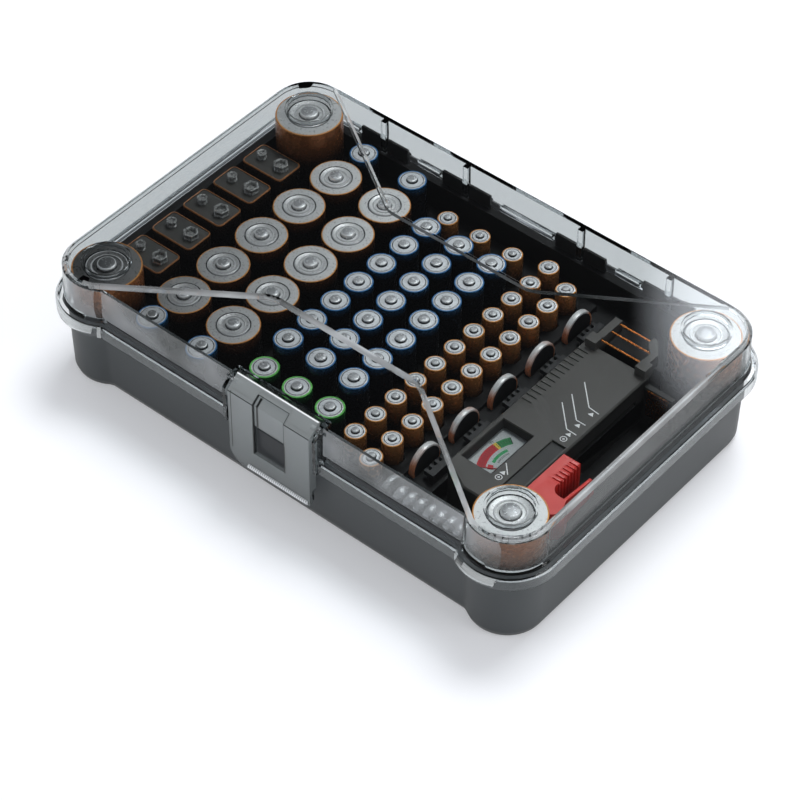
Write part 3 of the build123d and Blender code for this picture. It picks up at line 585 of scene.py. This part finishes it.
def boxes(corners):
    # straight blocks between (x0, x1, y0, y1, z0, z1), in mm
    c = np.array(corners, float)
    pick = np.array([(0, 2, 4), (1, 2, 4), (1, 3, 4), (0, 3, 4),
                     (0, 2, 5), (1, 2, 5), (1, 3, 5), (0, 3, 5)])
    points = c[:, pick].reshape(-1, 3) * mm
    face = np.array([(0, 3, 2, 1), (4, 5, 6, 7), (0, 1, 5, 4), (1, 2, 6, 5), (2, 3, 7, 6), (3, 0, 4, 7)])
    faces = (face[None] + (np.arange(len(c)) * 8)[:, None, None]).reshape(-1, 4)
    return points, faces


print("stage: cells")
floorTop = 2.5  # the cells stand on the base shell's floor
# zones: the number of the finish of each band, 0 for the jacket and 1 for the rim
largeCell = {"zones": [0, 0, 0, 1, 1, 1, 2, 3, 3, 4, 4, 2, 2, 4, 4, 2, 2, 3, 5, 4, 4, 5],
             "finishes": ["discLarge", "ring", "ridgeHighlight", "nub"]}
slimCell = {"zones": [0, 0, 0, 1, 1, 1, 4, 3, 3, 2, 2, 3, 3, 5, 4, 5],
            "finishes": ["disc", "ring", "ridgeHighlight", "nub"]}


def largeProfile(cell):
    # jacket, rim, flat plate, sunk ring, two ridges round a shallow dish, and the end button
    r, nub, rise = cell["radius"], cell["button"], cell["rise"]
    disc, rim = cell["high"] - rise, r - cell["rim"]
    return [
        (r - 0.8, floorTop), (r, floorTop + 1.0), (r, disc - 1.0), (r - 0.12, disc - 0.5),
        (r - 0.4, disc - 0.22), (rim, disc - 0.2), (rim - 0.1, disc - 0.32),
        (r * 0.645, disc - 0.32), (r * 0.635, disc - 0.75), (r * 0.605, disc - 0.8),
        (r * 0.59, disc - 0.15), (r * 0.565, disc), (r * 0.54, disc - 0.12),
        (r * 0.455, disc - 0.3), (r * 0.435, disc - 0.05), (r * 0.41, disc - 0.05), (r * 0.39, disc - 0.4),
        (nub + 0.35, disc - 0.5), (nub + 0.02, disc - 0.35), (nub, disc + rise * 0.45),
        (nub - 0.22, disc + rise * 0.82), (nub - 0.75, disc + rise), (nub * 0.3, disc + rise)]


def slimProfile(cell):
    # jacket, rim, bright ring, thin groove, plate and end button
    r, nub, rise = cell["radius"], cell["button"], cell["rise"]
    disc, rim = cell["high"] - rise, r - cell["rim"]
    return [
        (r - 0.5, floorTop), (r, floorTop + 0.6), (r, disc - 0.8), (r - 0.1, disc - 0.4),
        (r - 0.35, disc - 0.2), (rim, disc - 0.2), (rim - 0.05, disc - 0.32), (rim - 0.75, disc - 0.3),
        (rim - 0.8, disc - 0.6), (rim - 1.05, disc - 0.6), (rim - 1.15, disc - 0.2),
        (nub + 0.3, disc - 0.25), (nub + 0.02, disc - 0.2), (nub, disc + rise * 0.55),
        (nub - 0.25, disc + rise * 0.88), (nub - 0.6, disc + rise), (nub * 0.3, disc + rise)]


def addCells(name, cell, kind, profile, slotName, node):
    finishes = [cell["jacket"], cell["rimFinish"]] + kind["finishes"]
    mesh = stacked(name, turned(profile(cell), cell["sides"]), kind["zones"], cell["places"], finishes)
    link(name, mesh, slotName, "base", node)


columns = (-31.5, -11.25, 9.0)  # the slim cells' rows, by X
slimStep = {"first": 55.3, "step": 16.9, "count": 7}
dCell = {"radius": 17.1, "high": 63.5, "button": 4.75, "rise": 1.5, "rim": 0.75, "sides": 96,
         "jacket": "jacketD", "rimFinish": "rimOrange",
         "places": [(sx * lobe[0], sy * lobe[1], 0) for sx in (-1, 1) for sy in (-1, 1)]}
cCell = {"radius": 13.1, "high": 51.7, "button": 3.5, "rise": 1.5, "rim": 0.6, "sides": 80,
         "jacket": "jacketC", "rimFinish": "rimOrange",
         "places": [(x, k * 27.55, 0) for x in (-89.6, -58.0) for k in range(-2, 3)]}
aaCell = {"radius": 7.25, "high": 52.3, "button": 2.75, "rise": 1.2, "rim": 0.7, "sides": 56,
          "jacket": "jacketBlue", "rimFinish": "rimBlue",
          "places": [(x, slimStep["first"] - k * slimStep["step"], 0) for x in columns
                     for k in range(slimStep["count"])]
          + [(-90.2, 77.2, 0), (-58.8, 77.2, 0), (-90.6, -75.9, 0), (-59.0, -75.9, 0)]}
shortCell = {"radius": 7.25, "high": 46.3, "button": 2.75, "rise": 1.2, "rim": 1.0, "sides": 56,
             "jacket": "jacketGreen", "rimFinish": "rimGreen",
             "places": [(x, slimStep["first"] - slimStep["count"] * slimStep["step"], 0) for x in columns]}
aaaCell = {"radius": 5.25, "high": 46.5, "button": 1.9, "rise": 1.0, "rim": 0.6, "sides": 48,
           "jacket": "jacketThin", "rimFinish": "rimOrange",
           "places": [(x, y - k * 14.33, 0) for x, y in ((28.0, 76.0), (44.0, 68.9)) for k in range(11)]
           + [(x, 71.9, 0) for x in columns]}
addCells("dCells", dCell, largeCell, largeProfile, "cell_copper", "d_cells")
addCells("cCells", cCell, largeCell, largeProfile, "cell_copper", "c_cells")
addCells("aaCells", aaCell, slimCell, slimProfile, "cell_dark", "aa_cells")
addCells("shortCells", shortCell, slimCell, slimProfile, "cell_dark", "short_cells")
addCells("aaaCells", aaaCell, slimCell, slimProfile, "cell_copper", "aaa_cells")

blockCell = {"long": 26.0, "wide": 17.0, "corner": 2.8,
             "levels": [(0.6, 2.5), (0, 3.2), (0, 46.3), (0.12, 46.75), (0.45, 46.95), (0.75, 46.9),
                        (0.95, 46.5), (3.0, 46.5)],
             "zones": [0, 0, 1, 1, 1, 2, 2], "finishes": ["blockSide", "rimBlock", "blockTop"],
             "places": [(-123.9, 45.5 - k * 21.98) for k in range(5)]}
rings = roundedBox(blockCell["long"], blockCell["wide"], blockCell["corner"], blockCell["levels"])
mesh = stacked("blockCells", rings, blockCell["zones"], [(x, y, 0) for x, y in blockCell["places"]],
               blockCell["finishes"])
link("blockCells", mesh, "cell_dark", "base", "block_cells")

# snaps: (radius, height) profiles; the round one to the left and the six-sided one to the right
snap = {"apart": 12.7,
        "round": [(2.5, 46.5), (2.5, 47.0), (1.9, 47.3), (1.75, 48.6), (2.35, 49.4), (2.6, 49.8),
                  (2.3, 49.98), (1.5, 49.9), (1.3, 49.3), (0.3, 49.3)],
        "hex": [(4.15, 46.5), (4.15, 47.2), (3.6, 47.6), (3.75, 49.2), (4.05, 49.9), (3.5, 49.98),
                (2.8, 49.6), (2.5, 48.0), (0.4, 47.9)]}
for name, key, side, sides, start, turn in (("roundSnaps", "round", -1, 24, 0.0, 35),
                                            ("hexSnaps", "hex", 1, 6, 0.3, 20)):
    places = [(x + side * snap["apart"] / 2, y, 0) for x, y in blockCell["places"]]
    mesh = stacked(name, turned(snap[key], sides, start=start), [0] * (len(snap[key]) - 1), places,
                   ["nickel"], turn)
    link(name, mesh, "coin_steel", "base", "block_snaps")

# coin and button cells lie on their sides: their profiles turn round X
coin = {"profile": [(0.4, -1.55), (9.5, -1.55), (9.85, -1.35), (9.97, -1.0), (9.97, 0.9), (9.85, 1.25),
                    (9.5, 1.45), (8.9, 1.45), (8.7, 1.2), (0.4, 1.2)],
        "zones": [0] * 7 + [1, 1], "sides": 96, "turn": 40,
        "places": [(57.0, -52.5 + k * 28.5, 33.0) for k in range(5)]}
wideCoin = {"scale": (0.79, 1), "sides": 72, "places": [(59.5, -78.5, 38.0)]}
button = {"profile": [(0.4, -2.0), (4.6, -2.0), (5.2, -1.8), (5.7, -1.2), (5.75, -0.6), (5.75, 0.9),
                      (5.5, 1.5), (5.0, 1.7), (4.7, 1.95), (0.4, 2.0)],
          "sides": 64, "places": [(67.4 + k * 5.75, -80.6, 40.6) for k in range(7)]}
# the last two bands, the coin cells' flat face towards +X, take the black hinge plastic: painted shade
mesh = stacked("coinCells", turned(coin["profile"], coin["sides"], True), coin["zones"], coin["places"],
               ["coin", "hinge"], coin["turn"])
link("coinCells", mesh, "coin_steel", "base", "coin_cells")
small = np.array(coin["profile"]) * wideCoin["scale"]
mesh = stacked("wideCoin", turned(small, wideCoin["sides"], True), [0] * 9, wideCoin["places"],
               ["button"], coin["turn"])
link("wideCoin", mesh, "coin_steel", "base", "coin_cells")
mesh = stacked("buttonCells", turned(button["profile"], button["sides"], True), [0] * 9, button["places"],
               ["button"], coin["turn"])
link("buttonCells", mesh, "coin_steel", "base", "button_cells")

print("stage: tray details and marks")
# a toothed block behind each coin cell, and two low blocks behind each hinge
comb = {"bar": (64.6, 68.2, -7.4, 7.4, 31.0, 36.6), "tooth": (61.8, 64.7, -0.9, 0.9, 33.0, 35.6),
        "teeth": 4, "step": 3.7}
hingeBlock = {"centres": (-88.2, -35.5, 35.5, 88.2), "halves": ((-15.0, -2.0), (2.0, 15.0)),
              "y": (90.9, 92.2), "z": (44.45, 52.6)}
corners = []
for x, y, z in coin["places"]:
    x0, x1, y0, y1, z0, z1 = comb["bar"]
    corners.append((x0, x1, y + y0, y + y1, z0, z1))
    x0, x1, y0, y1, z0, z1 = comb["tooth"]
    for k in range(comb["teeth"]):
        middle = y + (k - (comb["teeth"] - 1) / 2) * comb["step"]
        corners.append((x0, x1, middle + y0, middle + y1, z0, z1))
for centre in hingeBlock["centres"]:
    for x0, x1 in hingeBlock["halves"]:
        corners.append((centre + x0, centre + x1, *hingeBlock["y"], *hingeBlock["z"]))
points, faces = boxes(corners)
mesh = bpy.data.meshes.new("combs")
mesh.from_pydata(points.tolist(), [], faces.tolist())
mesh.materials.append(colours["hinge"])
link("combs", mesh, "tray_black", "base")

marks = {"top": 46.04, "wide": 0.5, "sides": 28, "circle": (1.35, 1.75), "bar": (0.7, 0.2),
         "strokes": [[(89.2, 24.7), (100.8, 13.0), (106.9, 12.4)],
                     [(89.5, 14.7), (101.3, 2.8), (106.5, 2.8)],
                     [(89.3, 7.6), (101.4, -4.6), (107.1, -4.8)], [(93.5, -39.0), (98.6, -44.3)]],
         "triangle": [(1.5, -1.0), (0.2, 1.3), (-1.5, -0.9)],
         "triangles": [(104.3, 10.2), (103.9, 0.6), (104.2, -6.6), (96.2, -44.5)],
         "circles": [(104.1, -10.4), (96.4, -48.0)]}


def ribbons(paths, wide):
    # each straight run of a path widened by half the width to both sides
    runs = np.array([(a, b) for path in paths for a, b in zip(path, path[1:])])
    start, end = runs[:, 0], runs[:, 1]
    along = (end - start) / np.linalg.norm(end - start, axis=1, keepdims=True)
    across = np.stack([-along[:, 1], along[:, 0]], -1) * wide / 2
    return np.stack([start - across, end - across, end + across, start + across], 1)


def crossedRing(inner, outer, sides, bar):
    # a flat ring between two radii, cut into quads by angle, with an upright cross of two bars in it
    angle = np.linspace(0, 2 * math.pi, sides + 1)
    ray = np.stack([np.cos(angle), np.sin(angle)], -1)
    ring = np.stack([ray[:-1] * inner, ray[:-1] * outer, ray[1:] * outer, ray[1:] * inner], 1)
    square = np.array([(-1, -1), (1, -1), (1, 1), (-1, 1)])
    return np.concatenate([ring, [square * bar, square * bar[::-1]]])


ring = crossedRing(*marks["circle"], marks["sides"], np.array(marks["bar"]))
circles = (np.array(marks["circles"])[:, None, None] + ring[None]).reshape(-1, 4, 2)
quads = np.concatenate([ribbons(marks["strokes"], marks["wide"]), circles])
triangles = np.array(marks["triangles"])[:, None] + np.array(marks["triangle"])[None]
flat = np.concatenate([quads.reshape(-1, 2), triangles.reshape(-1, 2)])
points = np.column_stack([flat, np.full(len(flat), marks["top"])]) * mm
faces = np.arange(quads.size // 2).reshape(-1, 4).tolist()
faces += (quads.size // 2 + np.arange(triangles.size // 2)).reshape(-1, 3).tolist()
mesh = bpy.data.meshes.new("printedMarks")
mesh.from_pydata(points.tolist(), [], faces)
mesh.materials.append(colours["mark"])
link("printedMarks", mesh, "dial_white", "base")

print("stage: light")
# the floor glows a little where the camera or the lid sees it first, and more in mirrored light
ground = {"colour": (0.93, 0.945, 0.98, 1), "first": 0.27, "mirrored": 0.45, "half": 6}
finish = Finish("floorWhite")
matt = finish.body(Base_Color=ground["colour"], Roughness=1.0, Specular_IOR_Level=0.0)
glow = finish.node("ShaderNodeEmission", inputs={"Color": (1, 1, 1, 1), "Strength": 1.0})
first = (finish.light("Glossy Depth") + finish.light("Diffuse Depth")) < 0.5
share = first * ground["first"] + finish.light("Is Glossy Ray") * ground["mirrored"]
half = ground["half"]
floorMesh = bpy.data.meshes.new("floor")
floorMesh.from_pydata([(-half, -half, 0), (half, -half, 0), (half, half, 0), (-half, half, 0)], [],
                      [(0, 1, 2, 3)])
floorMesh.materials.append(finish.done(finish.blend(share, matt, glow)))
floor = bpy.data.objects.new("floor", floorMesh)
scene.collection.objects.link(floor)

# World: white where the camera looks, soft light for plain surfaces, and for gloss a dome that darkens
# upwards, with one bright patch between the inner and outer angles (degrees) round its direction.
dome = {"soft": 0.5, "low": 0.9, "high": 0.05, "heights": (0.02, 0.42), "patch": (-0.3543, 0.6349, 0.6866),
        "inner": 1.0, "outer": 3.3, "power": 7.0, "tone": (0.95, 0.975, 1.04, 1)}
scene.world = bpy.data.worlds.new("studio")
sky = Finish("studio", scene.world)
direction = sky.node("ShaderNodeTexCoord", output="Generated")
towards = Wire(sky, sky.node("ShaderNodeVectorMath", {"operation": "DOT_PRODUCT"},
                             {0: direction, 1: dome["patch"]}).socket.node.outputs["Value"])
patch = sky.span(towards, math.cos(math.radians(dome["outer"])), math.cos(math.radians(dome["inner"])),
                 0.0, dome["power"], "SMOOTHSTEP")
gradient = sky.span(sky.axes(direction)[2], *dome["heights"], dome["low"], dome["high"]) + patch
depth = sky.light("Glossy Depth")
firstHit = (depth + sky.light("Diffuse Depth")) < 0.5
level = dome["soft"] + (depth > 0.5) * (gradient - dome["soft"])
level = level + firstHit * (1.0 - level)
tone = sky.mix(firstHit, dome["tone"], (1, 1, 1, 1))
sky.done(sky.node("ShaderNodeBackground", inputs={"Color": tone, "Strength": level}),
         "ShaderNodeOutputWorld")

# soft rectangular lamps, all aimed at the middle of the case
lamps = {"keyLamp": {"place": (-0.1, 0.8, 1.75), "size": (0.8, 0.6), "power": 26, "mirrored": True},
         "sideLamp": {"place": (1.4, 0.25, 0.9), "size": (0.7, 0.7), "power": 5, "mirrored": True},
         "frontLamp": {"place": (-1.1, -1.1, 0.6), "size": (1.0, 0.6), "power": 2.5, "mirrored": False}}
for name, lamp in lamps.items():
    data = bpy.data.lights.new(name, "AREA")
    data.shape = "RECTANGLE"
    data.size, data.size_y = lamp["size"]
    data.energy = lamp["power"]
    item = bpy.data.objects.new(name, data)
    aim = (-Vector(lamp["place"])).to_track_quat("-Z", "Y").to_matrix().to_4x4()
    item.matrix_world = Matrix.Translation(lamp["place"]) @ aim
    item.visible_glossy = lamp["mirrored"]
    item.visible_transmission = False
    item.visible_camera = False
    scene.collection.objects.link(item)
